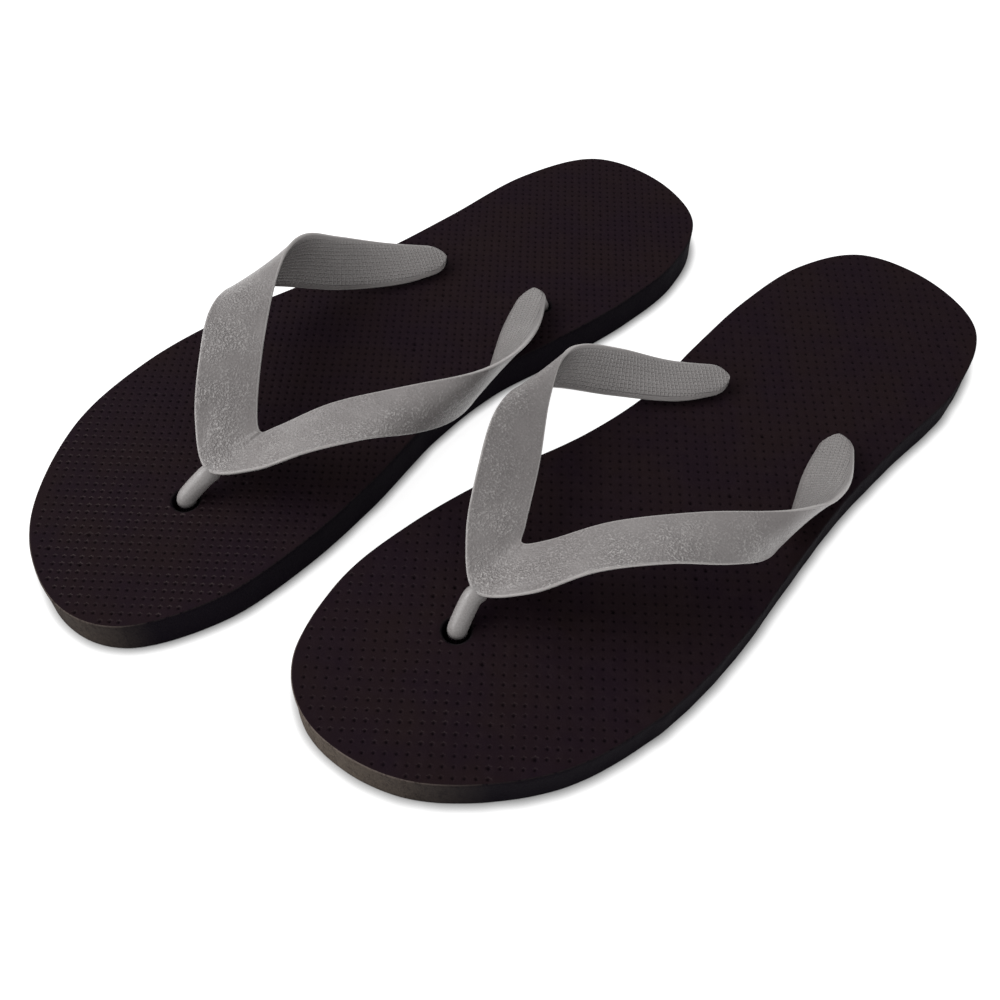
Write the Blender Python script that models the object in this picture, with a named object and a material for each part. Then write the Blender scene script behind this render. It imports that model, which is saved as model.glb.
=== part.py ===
"""A pair of flip flops: two foam soles, each with a one-piece moulded strap.

Shape data is in millimetres in one shoe's own frame: x towards the inner side
of the foot, y towards the toes, z up from the footbed. Each shoe is built from
that data straight into the scene's frame, where the toes point along -Y, the
floor is z = 0, and the left shoe lies at +X.

Each sole is one slab of foam in the real object. It is built as two solids that
meet at the line where it bends, and those are joined by a hinge.
"""
import bpy
import bmesh
from math import cos, pi, sin
from mathutils import Vector

MM = 0.001

# Layout of the pair
HALF_SPACING = 57.5          # from the pair's middle to each shoe's own axis
STAGGER = 16.5               # the right shoe lies ahead by this, the left behind

# Sole
SOLE_THICKNESS = 13.5
SOLE_OUTLINE = [             # around the slab, starting at the toe
    (12, 142.5), (35, 133.5), (47.5, 106), (49, 76), (45, 43), (37.5, 9),
    (35.5, -21), (39.5, -50), (42.5, -82), (40.5, -112), (28, -135.5), (1, -142.5),
    (-25, -133), (-36.5, -103), (-38, -66), (-40, -35), (-45, -3), (-51, 33),
    (-51.5, 68), (-42.5, 102), (-18, 132),
]
OUTLINE_STEPS = 6            # straight pieces between two outline points
FLEX_Y = 45.0                # line across the ball of the foot where it bends
FLEX_GAP = 0.3

# Holes through the sole, each with a round recess for a plug's disc
POST_HOLE = (9.6, 91.0)
INNER_HOLE = (25.2, -50.4)
OUTER_HOLE = (-25.7, -47.9)
POST_HOLE_RADIUS = 4.7
SIDE_HOLE_RADIUS = 3.0
RECESS_RADIUS = 7.8
RECESS_DEPTH = 3.6
DISC_RADIUS = 7.0
DISC_THICKNESS = 2.2
DISC_CLEARANCE = 0.8         # from the floor up to the disc

# Strap: points along the two edges of each arm, from the middle to its end
FRONT_MIDDLE = (11.5, 82, 9.5)
REAR_MIDDLE = (12.8, 60.8, 12.6)
INNER_FRONT = [
    (26, 72.5, 15), (37.5, 57.5, 23), (47.5, 41.5, 26), (52.5, 25, 20.5),
    (50.5, 7.5, 11.8), (40.5, -11, 5.2), (26, -30, 3), (17, -47.5, 3.2),
]
INNER_REAR = [
    (17, 55.5, 14), (27.5, 39.5, 20.5), (42, 20.5, 24.5), (52, 2.5, 25),
    (53.5, -9, 23), (48, -22.5, 17), (37.5, -38, 9.3), (24.5, -53.5, 6),
]
OUTER_FRONT = [
    (-3.5, 74, 16.5), (-16, 60, 26.5), (-29, 45, 28.5), (-39, 28.5, 22),
    (-40.5, 11, 11.5), (-33, -8.5, 4), (-23, -28.5, 2.6), (-17.5, -46.5, 3),
]
OUTER_REAR = [
    (6, 56, 16.4), (-6.2, 42, 24.8), (-22.5, 23.5, 28.5), (-36, 7, 28),
    (-42, -5, 26), (-42, -17, 19), (-37, -33.5, 10.5), (-26, -50.5, 6),
]
STRAP_LAY = {                # off that shared shape: at the bend front and rear, and at the end
    ("left", "inner"): ((1.5, -3.5, 1.5), (2.5, -2.5, -3), (-2, 6.5, 0)),
    ("left", "outer"): ((2, -1, 0.5), (2, -1, -2), (-1.5, -3, 0)),
    ("right", "inner"): ((-0.7, 4.6, -1.8), (-2.5, 3, 2), (-2, -6.5, 0)),
    ("right", "outer"): ((-1.5, 2.5, 1), (-1.5, 2.5, 1), (5, 4, 0)),
}
STRAP_THICKNESS = 2.2
ARM_SECTIONS = 24            # evenly spaced, up to where the end rounds off
END_SECTIONS = 5
END_ROUND_START = 0.96       # along the arm
END_WIDTH = 0.25             # share of the width left at the very end
POST_RADIUS = 3.2
STEM_RADIUS = 2.5
STEM_LEAN = (2.8, 2.4)       # from its hole to the band: sideways, and forwards
STEM_TOP = 4.3               # inside the band, above the footbed
ROUND_SIDES = 24

# Cross-section of the band: across its width, and through its thickness. The outer
# face is flat and the inner one rises to meet it, so the edges are thin.
BAND_SECTION = [
    (-1.0, 0.9), (-0.5, 1.0), (0.0, 1.0), (0.5, 1.0), (1.0, 0.9), (1.0, 0.1),
    (0.82, -0.6), (0.5, -1.0), (0.0, -1.0), (-0.5, -1.0), (-0.82, -0.6), (-1.0, 0.1),
]


def clear_scene():
    for obj in list(bpy.data.objects):
        bpy.data.objects.remove(obj, do_unlink=True)


def make_material(name, rgb, roughness):
    material = bpy.data.materials.new(name)
    material.use_nodes = True
    shader = material.node_tree.nodes["Principled BSDF"]
    shader.inputs["Base Color"].default_value = (*rgb, 1.0)
    shader.inputs["Roughness"].default_value = roughness
    shader.inputs["Metallic"].default_value = 0.0
    material.diffuse_color = (*rgb, 1.0)
    return material


def spline(points, steps, closed=False):
    """Catmull-Rom curve through the points, with the given steps per piece."""
    pts = [Vector(p) for p in points]
    count = len(pts)
    pieces = count if closed else count - 1

    def point(i):
        if closed:
            return pts[i % count]
        if i < 0:
            return 2 * pts[0] - pts[1]
        if i >= count:
            return 2 * pts[-1] - pts[-2]
        return pts[i]

    curve = []
    for i in range(pieces):
        a, b, c, d = point(i - 1), point(i), point(i + 1), point(i + 2)
        for k in range(steps):
            t = k / steps
            curve.append(0.5 * (2 * b + (c - a) * t + (2 * a - 5 * b + 4 * c - d) * t * t
                                + (3 * b - a - 3 * c + d) * t ** 3))
    if not closed:
        curve.append(pts[-1].copy())
    return curve


def point_at(curve, share):
    """The point at a share (0 to 1) of the way through a polyline's points."""
    place = share * (len(curve) - 1)
    i = min(int(place), len(curve) - 2)
    return curve[i].lerp(curve[i + 1], place - i)


class Shoe:
    """Turns one shoe's own millimetres into the scene's metres."""

    def __init__(self, side):
        self.side = side
        self.sign = -1 if side == "left" else 1
        self.centre_y = STAGGER if side == "left" else -STAGGER

    def place(self, x, y, z):
        """x inwards, y towards the toes, z up from the footbed."""
        px = self.sign * (x - HALF_SPACING)
        py = -y + self.centre_y
        return Vector((px * MM, py * MM, (z + SOLE_THICKNESS) * MM))


def new_object(name, bm, material, origin):
    """Make an object from a mesh in scene coordinates, with its origin moved."""
    bmesh.ops.recalc_face_normals(bm, faces=bm.faces)
    bmesh.ops.translate(bm, vec=-origin, verts=bm.verts)
    mesh = bpy.data.meshes.new(name)
    bm.to_mesh(mesh)
    bm.free()
    obj = bpy.data.objects.new(name, mesh)
    obj.location = origin
    if material:
        mesh.materials.append(material)
    bpy.context.scene.collection.objects.link(obj)
    return obj


def make_cutter(obj):
    obj.hide_render = True
    obj.display_type = "WIRE"


def add_boolean(obj, other, operation):
    modifier = obj.modifiers.new(operation.title(), "BOOLEAN")
    modifier.operation = operation
    modifier.solver = "EXACT"
    modifier.object = other


def add_turned(bm, shoe, path, radii):
    """A closed round body along a path in shoe millimetres, one radius a point."""
    rings = []
    centres = [Vector(p) for p in path]
    for i, centre in enumerate(centres):
        before = centres[max(i - 1, 0)]
        after = centres[min(i + 1, len(centres) - 1)]
        axis = (after - before).normalized()
        across = Vector((1, 0, 0))
        up = axis.cross(across).normalized()
        across = up.cross(axis).normalized()
        ring = []
        for k in range(ROUND_SIDES):
            angle = 2 * pi * k / ROUND_SIDES
            p = centre + radii[i] * (cos(angle) * across + sin(angle) * up)
            ring.append(bm.verts.new(shoe.place(*p)))
        rings.append(ring)
    join_rings(bm, rings)


def join_rings(bm, rings):
    """Skin a list of rings and cap both ends."""
    for low, high in zip(rings, rings[1:]):
        count = len(low)
        for k in range(count):
            j = (k + 1) % count
            bm.faces.new((low[k], low[j], high[j], high[k]))
    bm.faces.new(rings[0])
    bm.faces.new(reversed(rings[-1]))


def build_sole(shoe, material):
    """The slab's two solids, with the strap's holes and recesses cut out."""
    outline = spline([(x, y, 0) for x, y in SOLE_OUTLINE], OUTLINE_STEPS, closed=True)
    hinge = shoe.place(0, FLEX_Y, 0)
    parts = {}
    for part, toe_side in (("rear", False), ("fore", True)):
        bm = bmesh.new()
        top = [bm.verts.new(shoe.place(p.x, p.y, 0)) for p in outline]
        low = [bm.verts.new(shoe.place(p.x, p.y, -SOLE_THICKNESS)) for p in outline]
        join_rings(bm, [low, top])
        bmesh.ops.recalc_face_normals(bm, faces=bm.faces)
        edge_y = FLEX_Y + (FLEX_GAP / 2 if toe_side else -FLEX_GAP / 2)
        away = Vector((0, 1, 0)) if toe_side else Vector((0, -1, 0))
        cut = bmesh.ops.bisect_plane(
            bm, geom=bm.verts[:] + bm.edges[:] + bm.faces[:], dist=1e-7,
            plane_co=shoe.place(0, edge_y, 0), plane_no=away, clear_outer=True)
        rim = [e for e in cut["geom_cut"] if isinstance(e, bmesh.types.BMEdge)]
        bmesh.ops.holes_fill(bm, edges=rim)
        origin = hinge if toe_side else shoe.place(0, 0, -SOLE_THICKNESS)
        parts[part] = new_object(f"{shoe.side}_sole_{part}", bm, material, origin)

    holes = {
        "fore": [(POST_HOLE, POST_HOLE_RADIUS)],
        "rear": [(hole_place(shoe.side, arm), SIDE_HOLE_RADIUS) for arm in ("inner", "outer")],
    }
    recess_top = -SOLE_THICKNESS + RECESS_DEPTH
    for part, places in holes.items():
        bm = bmesh.new()
        for (x, y), radius in places:
            heights = (-SOLE_THICKNESS - 2, recess_top, recess_top, 2)
            widths = (RECESS_RADIUS, RECESS_RADIUS, radius, radius)
            rings = []
            for z, r in zip(heights, widths):
                ring = []
                for k in range(ROUND_SIDES):
                    angle = 2 * pi * k / ROUND_SIDES
                    spot = shoe.place(x + r * cos(angle), y + r * sin(angle), z)
                    ring.append(bm.verts.new(spot))
                rings.append(ring)
            join_rings(bm, rings)
        cutter = new_object(f"{shoe.side}_{part}_hole_cutter", bm, None, Vector())
        make_cutter(cutter)
        add_boolean(parts[part], cutter, "DIFFERENCE")
    return parts


def laid(side, arm, edge, points):
    """One edge (0 front, 1 rear) of an arm, moved to where that arm lies on this shoe."""
    bend = Vector(STRAP_LAY[side, arm][edge])
    end = Vector(STRAP_LAY[side, arm][2])
    moved = []
    for i, point in enumerate(points, 1):
        t = i / len(points)
        shift = sin(pi * t) ** 2 * bend + t * t * (3 - 2 * t) * end
        moved.append(Vector(point) + shift)
    return moved


def hole_place(side, arm):
    """Where the arm's stem goes through the sole."""
    base = INNER_HOLE if arm == "inner" else OUTER_HOLE
    end = STRAP_LAY[side, arm][2]
    return base[0] + end[0], base[1] + end[1]


def band_sections(side):
    """(front, rear, width) from the outer arm's end, over the middle, to the inner's."""
    edges = []
    tables = ((OUTER_FRONT, FRONT_MIDDLE, INNER_FRONT), (OUTER_REAR, REAR_MIDDLE, INNER_REAR))
    for edge, (outer, middle, inner) in enumerate(tables):
        points = laid(side, "outer", edge, outer)[::-1] + [middle]
        points += laid(side, "inner", edge, inner)
        edges.append(spline(points, 12))
    runs = [END_ROUND_START * k / ARM_SECTIONS for k in range(ARM_SECTIONS + 1)]
    widths = [1.0] * len(runs)
    for k in range(1, END_SECTIONS + 1):
        angle = pi / 2 * k / END_SECTIONS
        runs.append(END_ROUND_START + (1 - END_ROUND_START) * sin(angle))
        widths.append(max(cos(angle), END_WIDTH))
    both = [(-run, width) for run, width in zip(runs, widths)][:0:-1] + list(zip(runs, widths))
    return [(point_at(edges[0], (1 + run) / 2), point_at(edges[1], (1 + run) / 2), width)
            for run, width in both]


def build_strap(shoe, material):
    """The band as one skin, joined to its toe post and its plug stems."""
    sections = band_sections(shoe.side)
    middle = len(sections) // 2
    centres = [(front + rear) / 2 for front, rear, _ in sections]
    normals = []
    for i, (front, rear, _) in enumerate(sections):
        along = centres[min(i + 1, len(sections) - 1)] - centres[max(i - 1, 0)]
        normals.append(along.cross(rear - front).normalized())
    if normals[middle].z < 0:
        normals = [-n for n in normals]

    bm = bmesh.new()
    rings = []
    for i, (front, rear, width) in enumerate(sections):
        half = (rear - front) / 2 * width
        lift = normals[i] * STRAP_THICKNESS / 2
        ring = [bm.verts.new(shoe.place(*(centres[i] + a * half + b * lift)))
                for a, b in BAND_SECTION]
        rings.append(ring)
    join_rings(bm, rings)
    strap = new_object(f"{shoe.side}_strap", bm, material, shoe.place(0, 0, 0))

    disc_low = -SOLE_THICKNESS + DISC_CLEARANCE
    disc_high = disc_low + DISC_THICKNESS
    bm = bmesh.new()
    x, y = POST_HOLE
    fx, fy, fz = FRONT_MIDDLE
    add_turned(bm, shoe,
               [(x, y, disc_low), (x, y, disc_high), (x, y, disc_high + 0.1),
                (x, y - 0.5, -2.5), (x, y - 0.5, 0.9), (fx - 0.1, fy + 1.5, fz - 2.6),
                (fx, fy - 1.5, fz - 1.7), (fx, fy - 6, fz - 1.2)],
               [DISC_RADIUS, DISC_RADIUS, POST_RADIUS, POST_RADIUS, POST_RADIUS,
                POST_RADIUS, POST_RADIUS, POST_RADIUS * 0.75])
    for arm in ("inner", "outer"):
        x, y = hole_place(shoe.side, arm)
        sideways, forwards = STEM_LEAN
        end_x = x - sideways if arm == "inner" else x + sideways
        add_turned(bm, shoe,
                   [(x, y, disc_low), (x, y, disc_high), (x, y, disc_high + 0.1),
                    (x, y, -2), (x, y, 0.6), (end_x, y + forwards, STEM_TOP)],
                   [DISC_RADIUS, DISC_RADIUS, STEM_RADIUS, STEM_RADIUS, STEM_RADIUS,
                    STEM_RADIUS * 0.6])
    plugs = new_object(f"{shoe.side}_plug_helper", bm, None, Vector())
    make_cutter(plugs)
    add_boolean(strap, plugs, "UNION")
    return strap


def main():
    clear_scene()
    foam = make_material("foam", (0.0145, 0.0088, 0.0100), 0.72)
    vinyl = make_material("vinyl", (0.190, 0.175, 0.172), 0.42)
    for side in ("left", "right"):
        shoe = Shoe(side)
        build_sole(shoe, foam)
        strap = build_strap(shoe, vinyl)
        for polygon in strap.data.polygons:
            polygon.use_smooth = True


main()
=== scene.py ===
"""Looks for the pair of flip flops: foam soles with a dimpled footbed, moulded vinyl straps.

Shapes are made in one shoe's own millimetres (x inwards, y towards the toes, z up
from the footbed), as in the CAD source, and placed in the row's frame in metres.
"""

from math import atan2, cos, pi, radians, sin, sqrt

import bmesh
import bpy
import numpy as np
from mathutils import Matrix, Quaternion, Vector
from mathutils.geometry import delaunay_2d_cdt


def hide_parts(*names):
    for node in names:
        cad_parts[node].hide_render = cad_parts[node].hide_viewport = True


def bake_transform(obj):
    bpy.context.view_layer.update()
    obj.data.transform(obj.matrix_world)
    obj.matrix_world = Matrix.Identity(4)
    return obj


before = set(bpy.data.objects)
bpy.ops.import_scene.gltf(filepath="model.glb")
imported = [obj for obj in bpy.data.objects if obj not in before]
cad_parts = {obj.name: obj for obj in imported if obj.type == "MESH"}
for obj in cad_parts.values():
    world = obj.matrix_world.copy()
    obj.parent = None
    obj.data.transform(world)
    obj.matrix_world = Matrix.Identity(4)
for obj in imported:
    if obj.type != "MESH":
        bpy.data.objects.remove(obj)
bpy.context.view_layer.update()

MM = 0.001

# ---- the same driving dimensions as the CAD source -------------------------------
HALF_SPACING = 57.5
STAGGER = 16.5
SOLE_THICKNESS = 13.5
SOLE_OUTLINE = [
    (12, 142.5), (35, 133.5), (47.5, 106), (49, 76), (45, 43), (37.5, 9),
    (35.5, -21), (39.5, -50), (42.5, -82), (40.5, -112), (28, -135.5), (1, -142.5),
    (-25, -133), (-36.5, -103), (-38, -66), (-40, -35), (-45, -3), (-51, 33),
    (-51.5, 68), (-42.5, 102), (-18, 132),
]
POST_HOLE = (9.6, 91.0)
INNER_HOLE = (25.2, -50.4)
OUTER_HOLE = (-25.7, -47.9)
RECESS_RADIUS = 7.8
RECESS_DEPTH = 3.6
DISC_RADIUS = 7.0
DISC_THICKNESS = 2.2
DISC_CLEARANCE = 0.8
FRONT_MIDDLE = (11.5, 82, 9.5)
REAR_MIDDLE = (12.8, 60.8, 12.6)
INNER_FRONT = [
    (26, 72.5, 15), (37.5, 57.5, 23), (47.5, 41.5, 26), (52.5, 25, 20.5),
    (50.5, 7.5, 11.8), (40.5, -11, 5.2), (26, -30, 3), (17, -47.5, 3.2),
]
INNER_REAR = [
    (17, 55.5, 14), (27.5, 39.5, 20.5), (42, 20.5, 24.5), (52, 2.5, 25),
    (53.5, -9, 23), (48, -22.5, 17), (37.5, -38, 9.3), (24.5, -53.5, 6),
]
OUTER_FRONT = [
    (-3.5, 74, 16.5), (-16, 60, 26.5), (-29, 45, 28.5), (-39, 28.5, 22),
    (-40.5, 11, 11.5), (-33, -8.5, 4), (-23, -28.5, 2.6), (-17.5, -46.5, 3),
]
OUTER_REAR = [
    (6, 56, 16.4), (-6.2, 42, 24.8), (-22.5, 23.5, 28.5), (-36, 7, 28),
    (-42, -5, 26), (-42, -17, 19), (-37, -33.5, 10.5), (-26, -50.5, 6),
]
STRAP_LAY = {
    ("left", "inner"): ((1.5, -3.5, 1.5), (2.5, -2.5, -3), (-2, 6.5, 0)),
    ("left", "outer"): ((2, -1, 0.5), (2, -1, -2), (-1.5, -3, 0)),
    ("right", "inner"): ((-0.7, 4.6, -1.8), (-2.5, 3, 2), (-2, -6.5, 0)),
    ("right", "outer"): ((-1.5, 2.5, 1), (-1.5, 2.5, 1), (5, 4, 0)),
}
STRAP_THICKNESS = 2.2
END_ROUND_START = 0.96
STEM_LEAN = (2.8, 2.4)
STEM_TOP = 4.3
POST_RADIUS = 3.2
STEM_RADIUS = 2.5

# ---- looks only ----------------------------------------------------------------
LATTICE_PITCH = {"left": 3.25, "right": 2.84}   # two different sheets of foam
DIMPLE_RADIUS = 0.55
DIMPLE_DEPTH = 0.50
LIP_HEIGHT = 0.10
LIP_SIZE = {"left": 0.55, "right": 1.0}
EDGE_MARGIN = 1.4            # from the sole's edge to the nearest dimple
# which way the toe's wall faces where it gets painted light with some chipped wear, and how strong that
# is
LIT_TOE_WALL_WAY = {"left": ((0.30, 0.95), 1.0), "right": ((-0.11, 0.99), 0.50)}
GRID_PITCH = 1.35             # of the strap's inner face
OUTLINE_SPACING = 1.3
HOLE_SIDES = 28
TUBE_SIDES = 32
BAND_STEPS = 12
RING_ACROSS = 17
POST_TIP = 0.30              # radius of the post's end under the band, as a share


class Shoe:
    """Turns one shoe's own millimetres into the pair's metres."""

    def __init__(self, side):
        self.side = side
        self.sign = -1 if side == "left" else 1
        self.centre_y = STAGGER if side == "left" else -STAGGER

    def place(self, x, y, z):
        px = self.sign * (x - HALF_SPACING)
        py = -y + self.centre_y
        return (px * MM, py * MM, (z + SOLE_THICKNESS) * MM)


def laid(side, arm, edge, points):
    """One edge (0 front, 1 rear) of an arm, moved to where that arm lies on this shoe."""
    bend = np.array(STRAP_LAY[side, arm][edge], float)
    end = np.array(STRAP_LAY[side, arm][2], float)
    t = np.arange(1, len(points) + 1)[:, None] / len(points)
    return np.array(points, float) + np.sin(pi * t) ** 2 * bend + t * t * (3 - 2 * t) * end


def hole_place(side, arm):
    base = INNER_HOLE if arm == "inner" else OUTER_HOLE
    end = STRAP_LAY[side, arm][2]
    return base[0] + end[0], base[1] + end[1]


def spline(points, steps, closed=False):
    """Catmull-Rom curve through the points, with the given steps per piece."""
    pts = np.array(points, float)
    count = len(pts)
    pieces = count if closed else count - 1
    t = (np.arange(steps) / steps)[:, None]
    curve = []
    for i in range(pieces):
        if closed:
            a, b, c, d = (pts[(i + k) % count] for k in (-1, 0, 1, 2))
        else:
            b, c = pts[i], pts[i + 1]
            a = pts[i - 1] if i else 2 * b - c
            d = pts[i + 2] if i + 2 < count else 2 * c - b
        curve.append(0.5 * (2 * b + (c - a) * t + (2 * a - 5 * b + 4 * c - d) * t ** 2
                            + (3 * b - a - 3 * c + d) * t ** 3))
    curve = np.concatenate(curve)
    return curve if closed else np.vstack([curve, pts[-1]])


def by_length(curve, spacing, closed=False):
    """The curve's points again, evenly spaced along its length."""
    run = np.vstack([curve, curve[:1]]) if closed else curve
    steps = np.linalg.norm(np.diff(run, axis=0), axis=1)
    total = np.concatenate([[0], np.cumsum(steps)])
    count = int(round(total[-1] / spacing))
    wanted = np.linspace(0, total[-1], count + 1)
    if closed:
        wanted = wanted[:-1]
    return np.stack([np.interp(wanted, total, run[:, k]) for k in range(run.shape[1])], 1)


def new_mesh_object(name, verts, faces, attributes, material_index=None):
    """A smooth-shaded object whose points carry the attributes that its material reads."""
    mesh = bpy.data.meshes.new(name)
    mesh.from_pydata([tuple(v) for v in verts], [], faces)
    mesh.update()
    if material_index is not None:
        mesh.polygons.foreach_set("material_index", np.array(material_index, np.int32))
    mesh.polygons.foreach_set("use_smooth", np.full(len(mesh.polygons), True))
    obj = bpy.data.objects.new(name, mesh)
    bpy.context.scene.collection.objects.link(obj)
    for key, values in attributes.items():
        values = np.asarray(values, np.float32)
        kind = "FLOAT_VECTOR" if values.ndim == 2 else "FLOAT"
        field = "vector" if values.ndim == 2 else "value"
        attribute = mesh.attributes.new(key, kind, "POINT")
        attribute.data.foreach_set(field, values.ravel())
    return obj


def circle(centre, radius, count):
    angle = 2 * pi * np.arange(count) / count
    return np.stack([centre[0] + radius * np.cos(angle), centre[1] + radius * np.sin(angle)], 1)


def inside(points, outline):
    """Which points lie inside a closed outline."""
    x, y = points[:, 0], points[:, 1]
    hit = np.zeros(len(points), bool)
    a, b = outline, np.roll(outline, -1, axis=0)
    for (x0, y0), (x1, y1) in zip(a, b):
        if y0 == y1:
            continue
        crosses = ((y0 > y) != (y1 > y)) & (x < (x1 - x0) * (y - y0) / (y1 - y0) + x0)
        hit ^= crosses
    return hit


def inset(outline, distance):
    """A closed outline moved inwards."""
    ahead = np.roll(outline, -1, axis=0) - np.roll(outline, 1, axis=0)
    normal = np.stack([ahead[:, 1], -ahead[:, 0]], 1)
    normal /= np.linalg.norm(normal, axis=1)[:, None]
    area = np.sum(outline[:, 0] * np.roll(outline[:, 1], -1)
                  - np.roll(outline[:, 0], -1) * outline[:, 1])
    return outline - normal * distance * (1 if area > 0 else -1)


class Builder:
    """Collects vertices, faces and their material for one closed mesh."""

    def __init__(self):
        self.verts = []
        self.faces = []
        self.slots = []

    def add(self, points):
        first = len(self.verts)
        self.verts.extend(map(tuple, points))
        return list(range(first, len(self.verts)))

    def wall(self, low, high, slot):
        count = len(low)
        for k in range(count):
            j = (k + 1) % count
            self.faces.append((low[k], low[j], high[j], high[k]))
            self.slots.append(slot)

    def sheet(self, loops, extra, extra_index, slot, hole_test):
        """Triangles that fill the first loop, less its holes, through the extra points."""
        coords, index, edges = [], [], []
        for loop in loops:
            first = len(coords)
            coords += [self.verts[i][:2] for i in loop]
            index += loop
            edges += [(first + k, first + (k + 1) % len(loop)) for k in range(len(loop))]
        coords += [tuple(p) for p in extra]
        index += extra_index
        out = delaunay_2d_cdt([Vector(c) for c in coords], edges, [], 1, 1e-6, True)
        made, faces, origin = out[0], out[2], out[3]
        to = [index[o[0]] for o in origin]
        centres = np.array([[sum(made[i][k] for i in f) / 3 for k in (0, 1)] for f in faces])
        keep = hole_test(centres) & inside(centres, np.array(coords[:len(loops[0])]))
        for f, kept in zip(faces, keep):
            if kept:
                self.faces.append(tuple(to[i] for i in f))
                self.slots.append(slot)


def lattice(pitch, outline, holes, seed):
    """Dimple centres on a square grid at 45 degrees, inside the outline and off the holes."""
    reach = int(220 / pitch)
    i, j = np.meshgrid(np.arange(-reach, reach), np.arange(-reach, reach))
    i, j = i.ravel(), j.ravel()
    half = pitch * sqrt(0.5)
    points = np.stack([(i - j) * half + 0.4, (i + j) * half + 0.9], 1)
    near = (np.abs(points[:, 0]) < 60) & (np.abs(points[:, 1]) < 150)
    points = points[near]
    points = points[inside(points, inset(outline, EDGE_MARGIN))]
    for centre, radius in holes:
        points = points[np.hypot(*(points - centre).T) > radius + 1.2]
    rng = np.random.default_rng(seed)
    points += rng.normal(0, 0.05, points.shape)
    depth = rng.uniform(0.8, 1.15, len(points))
    size = rng.uniform(0.9, 1.1, len(points))
    worn = rng.random(len(points)) < 0.012
    depth[worn] *= 1.8
    size[worn] *= 1.25
    return points, depth, size


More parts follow.
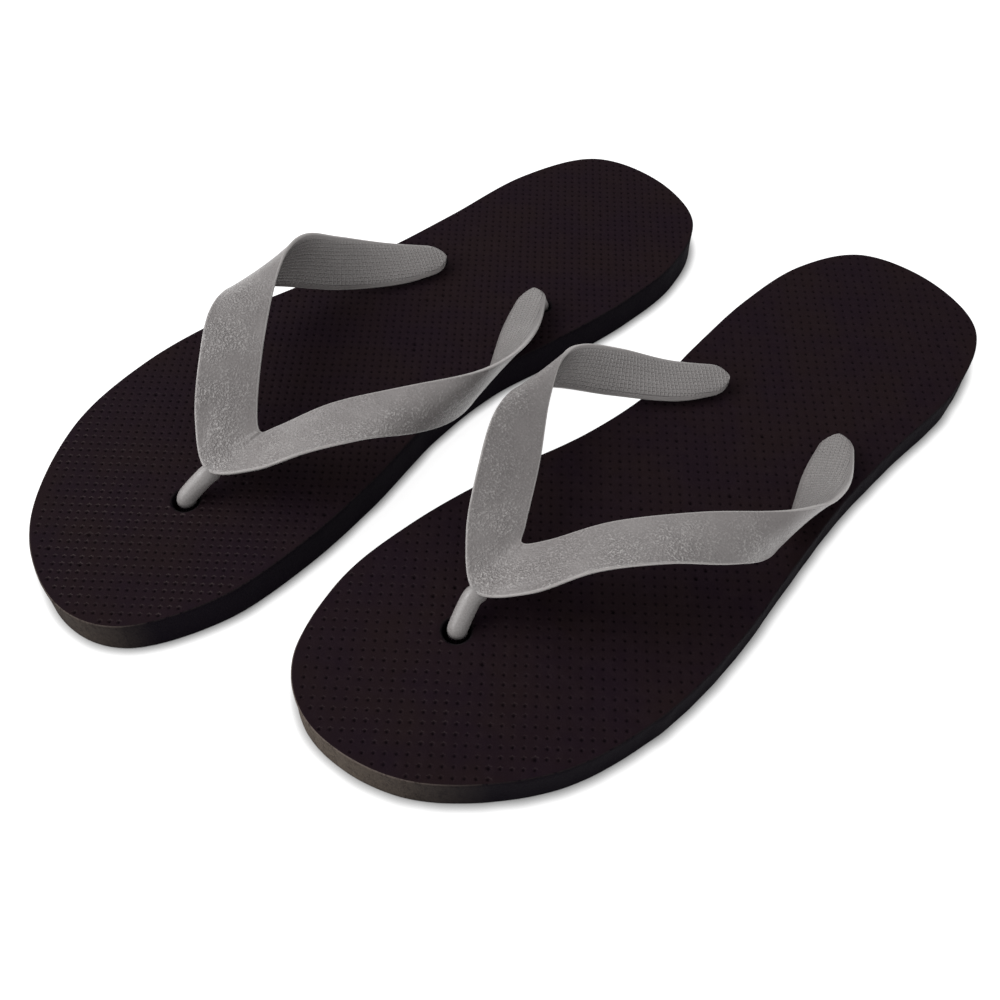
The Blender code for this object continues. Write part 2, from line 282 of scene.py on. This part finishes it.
def build_sole(shoe, materials):
    """One unbroken slab: its wall, the strap's holes, the dimpled footbed and the underside."""
    outline = by_length(spline(SOLE_OUTLINE, 24, closed=True), OUTLINE_SPACING, closed=True)
    rng = np.random.default_rng(11 if shoe.side == "left" else 12)
    count = len(outline)
    builder = Builder()
    top_z, low_z = 0.0, -SOLE_THICKNESS

    # the die-cut wall: a crisp top edge, a slightly wavy cut, a crisp bottom edge
    levels = [(0.0, 0.35), (-0.12, 0.12), (-0.4, 0.0), (-2.2, 0.05), (-4.4, 0.12), (-6.8, 0.16),
              (-9.2, 0.14), (-11.2, 0.08), (-12.9, 0.0), (-13.3, 0.12), (-13.5, 0.3)]
    turn = np.arange(count) / count * 2 * pi
    wave = sum(rng.normal(0, 0.045) * np.sin(k * turn + rng.uniform(0, 6.3))
               for k in range(9, 60, 4))
    nick = rng.normal(0, 0.035, count)
    rings = []
    for z, inward in levels:
        share = min(1.0, -z / 2.0, (z + SOLE_THICKNESS) / 2.0 + 0.001) if z else 0.0
        loop = inset(outline, inward)
        ahead = np.roll(loop, -1, axis=0) - np.roll(loop, 1, axis=0)
        normal = np.stack([ahead[:, 1], -ahead[:, 0]], 1)
        normal /= np.linalg.norm(normal, axis=1)[:, None]
        loop = loop + normal * ((wave + nick) * max(share, 0.0))[:, None]
        rings.append(builder.add(np.c_[loop, np.full(count, z)]))
    for high, low in zip(rings, rings[1:]):
        builder.wall(low, high, 1)

    # the strap's holes and the recesses under them
    holes = [(POST_HOLE, 4.3), (hole_place(shoe.side, "inner"), 3.0),
             (hole_place(shoe.side, "outer"), 3.0)]
    recess_z = low_z + RECESS_DEPTH
    top_loops, low_loops = [], []
    for centre, radius in holes:
        profile = [(radius + 0.9, top_z), (radius + 0.25, -0.35), (radius, -1.1),
                   (radius, recess_z), (RECESS_RADIUS - 0.3, recess_z),
                   (RECESS_RADIUS, recess_z - 0.3), (RECESS_RADIUS, low_z + 0.3),
                   (RECESS_RADIUS + 0.3, low_z)]
        loops = [builder.add(np.c_[circle(centre, r, HOLE_SIDES), np.full(HOLE_SIDES, z)])
                 for r, z in profile]
        for high, low in zip(loops, loops[1:]):
            builder.wall(high, low, 1)
        top_loops.append(loops[0])
        low_loops.append(loops[-1])

    # the footbed, with every dimple's own rings of points
    seed = 21 if shoe.side == "left" else 22
    centres, depth, size = lattice(LATTICE_PITCH[shoe.side], outline, holes, seed)
    extra, heights = [centres], [-DIMPLE_DEPTH * depth]
    lips = [-np.ones(len(centres))]
    lip_size = LIP_SIZE[shoe.side] * np.clip((centres[:, 1] - 45) / 60, 0.05, 1)
    lip_angle = atan2(-0.68, 0.73 * -shoe.sign)
    dimple_rings = ((0.5, 0.82, 0.0, 0.0), (1.0, 0.12, 0.5, 0.6), (1.5, 0.0, 0.0, 1.0),
                    (2.0, 0.0, 0.0, 0.0))        # radius, depth, turn and lip, as shares
    for radius, fall, turn0, lip_share in dimple_rings:
        for k in range(6):
            turn = 2 * pi * (k + turn0) / 6
            angle = lip_angle + turn
            step = DIMPLE_RADIUS * radius * size
            lip = lip_share * lip_size * max(0.0, min(1.0, 0.1 + cos(turn)))
            extra.append(centres + np.stack([step * cos(angle), step * sin(angle)], 1))
            heights.append(-DIMPLE_DEPTH * depth * fall + LIP_HEIGHT * lip)
            lips.append(lip - fall)
    extra = np.concatenate(extra)
    heights = np.concatenate(heights)
    lips = np.concatenate(lips)
    field = inset(outline, 0.9)
    ring_in = by_length(field, 1.6, closed=True)
    extra = np.vstack([extra, ring_in])
    heights = np.concatenate([heights, np.zeros(len(ring_in))])
    extra_index = builder.add(np.c_[extra, heights])
    lip_verts = np.array(extra_index[:len(lips)])

    def off_holes(radius_of):
        def test(points):
            keep = np.ones(len(points), bool)
            for centre, radius in holes:
                keep &= np.hypot(*(points - centre).T) > radius_of(radius) - 0.02
            return keep
        return test

    builder.sheet([rings[0]] + top_loops, extra, extra_index, 0,
                  off_holes(lambda r: (r + 0.9) * cos(pi / HOLE_SIDES)))
    # the underside
    low_field = inset(outline, 6.0)
    grid = np.meshgrid(np.arange(-60, 60, 7.0), np.arange(-150, 150, 7.0))
    grid = np.stack(grid, -1).reshape(-1, 2)
    grid = grid[inside(grid, low_field)]
    for centre, _ in holes:
        grid = grid[np.hypot(*(grid - centre).T) > RECESS_RADIUS + 2]
    grid_index = builder.add(np.c_[grid, np.full(len(grid), low_z)])
    start = len(builder.faces)
    builder.sheet([rings[-1]] + low_loops, grid, grid_index, 2,
                  off_holes(lambda r: (RECESS_RADIUS + 0.3) * cos(pi / HOLE_SIDES)))
    builder.faces[start:] = [f[::-1] for f in builder.faces[start:]]

    local = np.array(builder.verts)
    placed = np.array([shoe.place(*v) for v in local])
    raised = np.zeros(len(local))
    # the lips' share and the pits' depth, from which the footbed's material paints a highlight on the
    # lips and shade in the pits
    raised[lip_verts] = lips
    # painted light, with some chipped wear: the toe's wall is lighter where it faces the key lamp's way
    toe_wall_light_and_wear = np.zeros(len(local))
    ahead = np.roll(outline, -1, axis=0) - np.roll(outline, 1, axis=0)
    facing = np.stack([ahead[:, 1], -ahead[:, 0]], 1) / np.linalg.norm(ahead, axis=1)[:, None]
    facing *= np.sign(np.sum(facing * (outline - outline.mean(axis=0))))
    way, share = LIT_TOE_WALL_WAY[shoe.side]
    lit = share * np.clip(facing @ np.array(way) * 1.8 - 0.6, 0, 1)
    toe = np.clip((outline[:, 1] - 55) / 55, 0, 1)
    for ring in rings:
        toe_wall_light_and_wear[ring] = lit * toe
    attributes = {"rest": local, "raised": raised, "toe_wall_light_and_wear": toe_wall_light_and_wear}
    obj = new_mesh_object(f"{shoe.side}_foam_sole", placed, builder.faces, attributes, builder.slots)
    for material in materials:
        obj.data.materials.append(material)
    fix_normals(obj)
    return obj


def fix_normals(obj):
    bm = bmesh.new()
    bm.from_mesh(obj.data)
    bmesh.ops.recalc_face_normals(bm, faces=bm.faces)
    bm.to_mesh(obj.data)
    bm.free()


# ---- the strap -----------------------------------------------------------------
def band_ring():
    """(across -1..1, lift in mm, which face) round the band: outer face, edge, inner face, edge."""
    half = STRAP_THICKNESS / 2
    ring = []
    for a in np.linspace(-0.97, 0.97, RING_ACROSS):      # a faint rim along each edge
        rim = 0.14 * np.exp(-((abs(a) - 0.95) / 0.035) ** 2)
        ring.append((a, half - 0.08 + rim, 1.0))
    edge = [(0.99, half - 0.06), (1.0, half - 0.35), (0.992, half - 0.75), (0.975, half - 0.95)]
    ring += [(a, b, 0.0) for a, b in edge]
    for a in np.linspace(0.95, -0.95, RING_ACROSS):      # the inner face rises to thin edges
        ring.append((a, -half + 1.15 * abs(a) ** 5, -1.0))
    ring += [(-a, b, 0.0) for a, b in edge[::-1]]
    return ring


def band_edges(side):
    """The band's front and rear edges, from the outer arm's end to the inner arm's."""
    edges = []
    tables = ((OUTER_FRONT, FRONT_MIDDLE, INNER_FRONT), (OUTER_REAR, REAR_MIDDLE, INNER_REAR))
    for edge, (outer, middle, inner) in enumerate(tables):
        points = np.vstack([laid(side, "outer", edge, outer)[::-1], middle,
                            laid(side, "inner", edge, inner)])
        edges.append(spline(points, BAND_STEPS))
    return edges


def build_strap(shoe, material):
    """The band, with its toe post and its stems and discs as round bodies that run into it."""
    front, rear = band_edges(shoe.side)
    count = len(front)
    middle = (count - 1) // 2
    # more sections where the ends round off
    cut = END_ROUND_START * middle
    turn = np.linspace(0, pi / 2, 18)
    ends = middle + cut + (middle - cut) * np.sin(turn)
    fold = np.arange(-6, 6.1, 0.4)
    body = np.linspace(6, cut, int(cut) - 5)[1:-1]
    place = middle + np.concatenate([middle - ends[::-1], -body[::-1], fold, body, ends - middle])
    front, rear = (np.stack([np.interp(place, np.arange(count), edge[:, k]) for k in range(3)], 1)
                   for edge in (front, rear))
    centre = (front + rear) / 2
    along = np.gradient(centre, axis=0)
    lift = np.cross(along, rear - front)
    lift /= np.linalg.norm(lift, axis=1)[:, None]
    if lift[len(lift) // 2, 2] < 0:
        lift = -lift
    run = np.abs(place - middle) / middle
    taper = np.clip((run - END_ROUND_START) / (1 - END_ROUND_START), 0, 1)
    width = np.clip(1 - taper ** 2.3, 0.0025, 1) ** 0.5
    length = np.concatenate([[0], np.cumsum(np.linalg.norm(np.diff(centre, axis=0), axis=1))])
    length -= length[len(length) // 2]
    ring = band_ring()
    verts, strand, side, tube = [], [], [], []
    for i in range(len(place)):
        half = (rear[i] - front[i]) / 2
        mm = np.linalg.norm(half)
        for a, b, face in ring:
            if face > 0.5:               # the mould's fold, from the notch towards the post
                b += 0.32 * np.exp(-(length[i] / 1.5) ** 2) * np.clip((a + 0.5) / 1.2, 0, 1)
            verts.append(centre[i] + a * half * width[i] + b * lift[i])
            strand.append((length[i], a * mm * width[i], a))
            side.append(face)
            tube.append(0.0)
    faces = []
    n = len(ring)
    for i in range(len(place) - 1):
        for k in range(n):
            j = (k + 1) % n
            faces.append((i * n + k, i * n + j, (i + 1) * n + j, (i + 1) * n + k))
    faces.append(tuple(range(n)))
    faces.append(tuple(reversed(range((len(place) - 1) * n, len(place) * n))))

    # toe post and side stems, each with its disc
    disc_low = -SOLE_THICKNESS + DISC_CLEARANCE
    disc_high = disc_low + DISC_THICKNESS
    x, y = POST_HOLE
    fx, fy, fz = FRONT_MIDDLE
    disc = [(x, y, disc_low), (x, y, disc_low), (x, y, disc_low + 0.3), (x, y, disc_high - 0.3),
            (x, y, disc_high), (x, y, disc_high)]
    disc_radii = [0.05, DISC_RADIUS - 0.3, DISC_RADIUS, DISC_RADIUS, DISC_RADIUS - 0.3,
                  POST_RADIUS + 0.5]
    post = spline([(x, y, disc_high + 0.5), (x, y - 0.5, -5), (x, y - 0.5, -2.2), (x + 0.1, y - 1.0, 1.2),
                   (fx - 0.1, fy + 1.5, fz - 2.6), (fx, fy - 1.5, fz - 1.9), (fx, fy - 6, fz - 1.8)], 6)
    tip = list(np.linspace(POST_RADIUS, POST_RADIUS * POST_TIP, 6))
    thin = [POST_RADIUS] * (len(post) - 6) + tip
    tubes = [(disc + [tuple(p) for p in post], disc_radii + thin)]
    for arm, way in (("inner", -1), ("outer", 1)):
        x, y = hole_place(shoe.side, arm)
        sideways, forwards = STEM_LEAN
        disc = [(x, y, z) for _, _, z in disc]
        stem = spline([(x, y, disc_high + 0.5), (x, y, -5), (x, y, -0.8), (x + way * 0.6, y + 0.5, 1.4),
                       (x + way * sideways, y + forwards, STEM_TOP)], 4)
        radii = list(np.interp(np.arange(len(stem)), [0, len(stem) - 6, len(stem) - 1],
                               [STEM_RADIUS, STEM_RADIUS, STEM_RADIUS * 0.55]))
        tubes.append((disc + [tuple(p) for p in stem], disc_radii + radii))
    for path, radii in tubes:
        first = len(verts)
        path = np.array(path)
        for i, (middle_i, radius) in enumerate(zip(path, radii)):
            axis = path[min(i + 1, len(path) - 1)] - path[max(i - 1, 0)]
            length_i = np.linalg.norm(axis)
            axis = axis / length_i if length_i > 1e-6 else np.array([0, 0, 1.0])
            up = np.cross(axis, (1, 0, 0))
            up /= np.linalg.norm(up)
            over = np.cross(up, axis)
            for k in range(TUBE_SIDES):
                angle = 2 * pi * k / TUBE_SIDES
                verts.append(middle_i + radius * (cos(angle) * over + sin(angle) * up))
                strand.append((middle_i[2], angle * radius, 0.0))
                side.append(0.0)
                tube.append(1.0)
        for i in range(len(path) - 1):
            for k in range(TUBE_SIDES):
                j = (k + 1) % TUBE_SIDES
                a, b = first + i * TUBE_SIDES, first + (i + 1) * TUBE_SIDES
                faces.append((a + k, a + j, b + j, b + k))
        last = first + (len(path) - 1) * TUBE_SIDES
        faces.append(tuple(range(first, first + TUBE_SIDES)))
        faces.append(tuple(reversed(range(last, last + TUBE_SIDES))))

    local = np.array(verts)
    placed = np.array([shoe.place(*v) for v in local])
    attributes = {"rest": local, "strand": strand, "side": side, "tube": tube}
    obj = new_mesh_object(f"{shoe.side}_vinyl_strap", placed, faces, attributes)
    obj.data.materials.append(material)
    fix_normals(obj)
    return obj


# ---- materials -----------------------------------------------------------------
class Nodes:
    """A short way to write a material's nodes."""

    def __init__(self, name):
        self.material = bpy.data.materials.new(name)
        self.material.use_nodes = True
        self.tree = self.material.node_tree
        self.shader = self.tree.nodes["Principled BSDF"]

    def new(self, kind, inputs=None, **settings):
        node = self.tree.nodes.new(kind)
        for key, value in settings.items():
            setattr(node, key, value)
        for key, value in (inputs or {}).items():
            self.put(node, key, value)
        return node

    def put(self, node, key, value):
        socket = node.inputs[key]
        if isinstance(value, bpy.types.NodeSocket):
            self.tree.links.new(value, socket)
        else:
            socket.default_value = value

    def math(self, operation, a, b=0.0, c=0.0, clamp=False):
        node = self.new("ShaderNodeMath", {0: a, 1: b, 2: c}, operation=operation)
        node.use_clamp = clamp
        return node.outputs[0]

    def noise(self, vector, scale, detail=3.0, roughness=0.5):
        node = self.new("ShaderNodeTexNoise", {"Vector": vector, "Scale": scale, "Detail": detail,
                                               "Roughness": roughness})
        return node.outputs["Fac"]

    def attribute(self, name, output="Vector"):
        return self.new("ShaderNodeAttribute", attribute_name=name).outputs[output]

    def scaled(self, vector, factors):
        node = self.new("ShaderNodeVectorMath", {0: vector, 1: factors}, operation="MULTIPLY")
        return node.outputs[0]

    def parts(self, vector):
        node = self.new("ShaderNodeSeparateXYZ", {0: vector})
        return node.outputs

    def spread(self, value, low, high, to_low=0.0, to_high=1.0):
        node = self.new("ShaderNodeMapRange", {0: value, 1: low, 2: high, 3: to_low, 4: to_high})
        return node.outputs[0]

    def mix(self, factor, a, b):
        node = self.new("ShaderNodeMix", data_type="RGBA")
        self.put(node, 0, factor)
        self.put(node, 6, a)
        self.put(node, 7, b)
        return node.outputs[2]

    def bump(self, height, distance, strength=1.0, normal=None):
        inputs = {"Height": height, "Distance": distance, "Strength": strength}
        node = self.new("ShaderNodeBump", inputs)
        if normal is not None:
            self.put(node, "Normal", normal)
        return node.outputs["Normal"]


def foam_material(name, cut=False):
    """Foam: the dimpled footbed and plain underside, or the die-cut wall, lighter on the toe's lit side
    from painted light with some chipped wear.
    """
    n = Nodes(name)
    rest = n.attribute("rest")
    cloud = n.noise(rest, 0.035, 3.0, 0.6)
    mottled = n.noise(rest, 0.22, 4.0, 0.6)
    fine = n.noise(rest, 2.6, 2.0, 0.7)
    brown = (0.0120, 0.0063, 0.0074, 1)
    plum = (0.0102, 0.0051, 0.0086, 1)
    colour = n.mix(n.spread(cloud, 0.38, 0.62), brown, plum)
    lighter = (0.022, 0.014, 0.017, 1)
    speck = n.spread(n.math("MULTIPLY", mottled, fine), 0.22, 0.42)
    colour = n.mix(n.math("MULTIPLY", speck, 0.4), colour, lighter)
    if cut:
        height_mm = n.parts(rest)[2]
        toe_wall_light_and_wear = n.attribute("toe_wall_light_and_wear", "Fac")
        streak = n.noise(n.scaled(rest, (1.9, 1.9, 0.75)), 1.0, 3.0, 0.75)
        chips = n.spread(n.noise(n.scaled(rest, (0.55, 0.55, 0.3)), 1.0, 4.0, 0.8), 0.50, 0.62)
        dark = n.mix(n.spread(streak, 0.35, 0.7), (0.0032, 0.0021, 0.0044, 1),
                     (0.0066, 0.0048, 0.0070, 1))
        # the lighter colour of the toe's lit side: painted light, with chipped wear in it
        worn = n.mix(n.spread(streak, 0.3, 0.7), (0.054, 0.043, 0.036, 1),
                     (0.100, 0.081, 0.065, 1))
        worn = n.mix(n.math("MULTIPLY", chips, 0.4), worn, (0.012, 0.008, 0.008, 1))
        colour = n.mix(toe_wall_light_and_wear, dark, worn)
        # painted highlight: a broken light line along the wall's top edge, strongest on the toe's lit
        # side
        rim = n.math("MULTIPLY", n.spread(height_mm, -0.5, -0.1), n.spread(chips, 1.0, 0.2))
        rim = n.math("MULTIPLY", rim, n.spread(toe_wall_light_and_wear, 0.0, 0.7, 0.08, 0.7))
        colour = n.mix(rim, colour, (0.13, 0.105, 0.095, 1))
        height = n.math("ADD", n.math("MULTIPLY", streak, 0.7), n.math("MULTIPLY", chips, 0.25))
        n.put(n.shader, "Normal", n.bump(height, 0.00035, 0.9))
        n.put(n.shader, "Roughness", n.spread(streak, 0.2, 0.8, 0.62, 0.85))
        n.shader.inputs["Specular IOR Level"].default_value = 0.015
    else:
        raised = n.attribute("raised", "Fac")
        # painted highlight: lighter patches on the dimples' lips, which all face one way
        patch = n.spread(n.noise(rest, 0.06, 2.0, 0.5), 0.35, 0.65, 0.25, 1.0)
        lip = n.math("MULTIPLY", n.spread(raised, 0.0, 0.8), patch)
        colour = n.mix(n.math("MULTIPLY", lip, 0.9), colour, (0.066, 0.051, 0.051, 1))
        # painted shade: the dimples' pits darken towards black
        colour = n.mix(n.spread(raised, -0.25, -0.9, 0.0, 0.6), colour, (0.0015, 0.0008, 0.0020, 1))
        grain = n.noise(rest, 3.4, 3.0, 0.75)
        grain = n.math("ADD", grain, n.math("MULTIPLY", mottled, 0.6))
        n.put(n.shader, "Normal", n.bump(grain, 0.00012, 0.7))
        n.put(n.shader, "Roughness", n.spread(mottled, 0.3, 0.7, 0.6, 0.8))
        n.shader.inputs["Specular IOR Level"].default_value = 0.035
    n.put(n.shader, "Base Color", colour)
    return n.material


def vinyl_material():
    """Soft grey vinyl: a moulded grain outside, a fine square grid on the foot's side."""
    n = Nodes("grey_vinyl")
    strand = n.attribute("strand")
    side = n.attribute("side", "Fac")
    tube = n.attribute("tube", "Fac")
    across = n.parts(strand)[2]
    rest = n.attribute("rest")
    outer = n.spread(side, 0.1, 0.6)
    inner = n.spread(side, -0.1, -0.6)
    # outer face: a leathery moulded grain, coarser towards the front edge and the middle
    grains = n.noise(rest, 1.55, 1.5, 0.5)
    broad = n.noise(rest, 0.55, 2.0, 0.5)
    patch = n.spread(n.noise(rest, 0.07, 2.0, 0.5), 0.36, 0.64, 0.25, 1.0)
    forward = n.spread(across, 0.85, -0.2, 0.35, 1.0)
    area = n.math("MULTIPLY", n.math("MULTIPLY", patch, forward), outer)
    pebbled = n.math("ADD", n.math("MULTIPLY", grains, 0.8), n.math("MULTIPLY", broad, 0.35))
    # inner face: a fine square grid
    grid = n.math("MAXIMUM",
                  n.math("SINE", n.math("MULTIPLY", n.parts(strand)[0], 2 * pi / GRID_PITCH)),
                  n.math("SINE", n.math("MULTIPLY", n.parts(strand)[1], 2 * pi / GRID_PITCH)))
    field = n.spread(n.math("ABSOLUTE", across), 0.86, 0.80)
    grid = n.math("MULTIPLY", n.math("MULTIPLY", n.spread(grid, 0.2, 1.0), inner), field)
    normal = n.bump(n.math("MULTIPLY", pebbled, area), 0.0009, 1.0)
    normal = n.bump(grid, 0.00045, 0.9, normal)
    n.put(n.shader, "Normal", normal)
    tint = n.noise(rest, 0.045, 3.0, 0.55)
    colour = n.mix(n.spread(tint, 0.35, 0.65), (0.172, 0.158, 0.156, 1), (0.215, 0.200, 0.197, 1))
    # painted highlight: light glints on the grain's tops
    painted_glint = n.math("MULTIPLY", n.spread(grains, 0.53, 0.68), area)
    colour = n.mix(n.math("MULTIPLY", painted_glint, 0.75), colour, (0.46, 0.44, 0.43, 1))
    # painted shade in the grain's hollows
    pit = n.math("MULTIPLY", n.spread(grains, 0.47, 0.32), area)
    colour = n.mix(n.math("MULTIPLY", pit, 0.22), colour, (0.105, 0.096, 0.095, 1))
    colour = n.mix(n.math("MULTIPLY", inner, 0.24), colour, (0.30, 0.285, 0.28, 1))
    colour = n.mix(n.math("MULTIPLY", grid, 0.42), colour, (0.33, 0.315, 0.31, 1))
    # painted highlight: a light line along both edges of the band
    rim = n.spread(n.math("ABSOLUTE", across), 0.93, 0.98)
    colour = n.mix(n.math("MULTIPLY", rim, 0.6), colour, (0.50, 0.48, 0.47, 1))
    colour = n.mix(tube, colour, (0.26, 0.246, 0.242, 1))
    # painted shade: the post and stems darken towards black where they go down into their holes
    painted_hole_shade = n.math("MULTIPLY", tube, n.spread(n.parts(rest)[2], 1.3, -0.9))
    colour = n.mix(painted_hole_shade, colour, (0.006, 0.004, 0.006, 1))
    n.put(n.shader, "Base Color", colour)
    rough = n.spread(grains, 0.3, 0.7, 0.26, 0.42)
    n.put(n.shader, "Roughness", n.math("SUBTRACT", rough, n.math("MULTIPLY", tube, 0.08)))
    n.shader.inputs["Specular IOR Level"].default_value = 0.5
    n.shader.inputs["Subsurface Weight"].default_value = 0.15
    n.shader.inputs["Subsurface Radius"].default_value = (0.002, 0.0018, 0.0018)
    n.shader.inputs["Subsurface Scale"].default_value = 1.0
    return n.material


def build_pair():
    foam = [foam_material("foam_footbed"), foam_material("foam_cut_wall", cut=True),
            foam_material("foam_underside")]
    vinyl = vinyl_material()
    for side in ("left", "right"):
        shoe = Shoe(side)
        sole = build_sole(shoe, foam)
        strap = build_strap(shoe, vinyl)
        for piece, nodes, slot in ((sole, (f"{side}_sole_rear", f"{side}_sole_fore"), "foam"),
                                   (strap, (f"{side}_strap",), "vinyl")):
            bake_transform(piece)
            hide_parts(*nodes)


def build_stage():
    """A white floor that keeps only a thin contact shadow, soft lights and a pale world."""
    scene = bpy.context.scene
    mesh = bpy.data.meshes.new("floor")
    r = 60.0
    mesh.from_pydata([(-r, -r, 0), (r, -r, 0), (r, r, 0), (-r, r, 0)], [], [(0, 1, 2, 3)])
    floor = bpy.data.objects.new("floor", mesh)
    scene.collection.objects.link(floor)
    n = Nodes("pale_floor")
    n.shader.inputs["Base Color"].default_value = (0.45, 0.45, 0.45, 1)
    n.shader.inputs["Roughness"].default_value = 0.9
    n.shader.inputs["Specular IOR Level"].default_value = 0.0
    # the floor glows evenly; ambient occlusion dims the glow next to the shoes, a painted contact shadow
    close = n.new("ShaderNodeAmbientOcclusion", {"Distance": 0.0036}, samples=16)
    n.put(n.shader, "Emission Color", (1, 1, 1, 1))
    glow = n.math("MULTIPLY", n.math("POWER", close.outputs["AO"], 2.8), 0.85)
    n.put(n.shader, "Emission Strength", glow)
    mesh.materials.append(n.material)

    world = bpy.data.worlds.new("world")
    scene.world = world
    world.use_nodes = True
    world.node_tree.nodes["Background"].inputs[0].default_value = (1, 1, 1, 1)
    world.node_tree.nodes["Background"].inputs[1].default_value = 0.62

    def area(name, location, target, size, power):
        light = bpy.data.lights.new(name, "AREA")
        light.shape = "DISK"
        light.size = size
        light.energy = power
        obj = bpy.data.objects.new(name, light)
        obj.location = location
        obj.rotation_mode = "QUATERNION"
        obj.rotation_quaternion = (Vector(target) - Vector(location)).to_track_quat("-Z", "Y")
        scene.collection.objects.link(obj)

    area("key", (-0.95, -0.45, 1.10), (0, 0, 0), 1.30, 10)
    area("front", (-0.70, -1.25, 0.80), (0, 0, 0), 1.60, 12)


def build_camera():
    scene = bpy.context.scene
    data = bpy.data.cameras.new("camera")
    data.lens = 40.97
    data.sensor_width = 36.0
    data.clip_start = 0.01
    camera = bpy.data.objects.new("camera", data)
    elevation = radians(53.97)
    target = Vector((0.01395, -0.02524, 0.0))
    away = Vector((0.729 * cos(elevation), -0.6845 * cos(elevation), sin(elevation)))
    camera.location = target + away * 0.3881
    camera.rotation_mode = "QUATERNION"
    roll = Quaternion((0, 0, 1), radians(0.66))
    camera.rotation_quaternion = (-away).to_track_quat("-Z", "Y") @ roll
    scene.collection.objects.link(camera)
    scene.camera = camera


bpy.context.scene.view_settings.view_transform = "Standard"
build_pair()
build_stage()
build_camera()
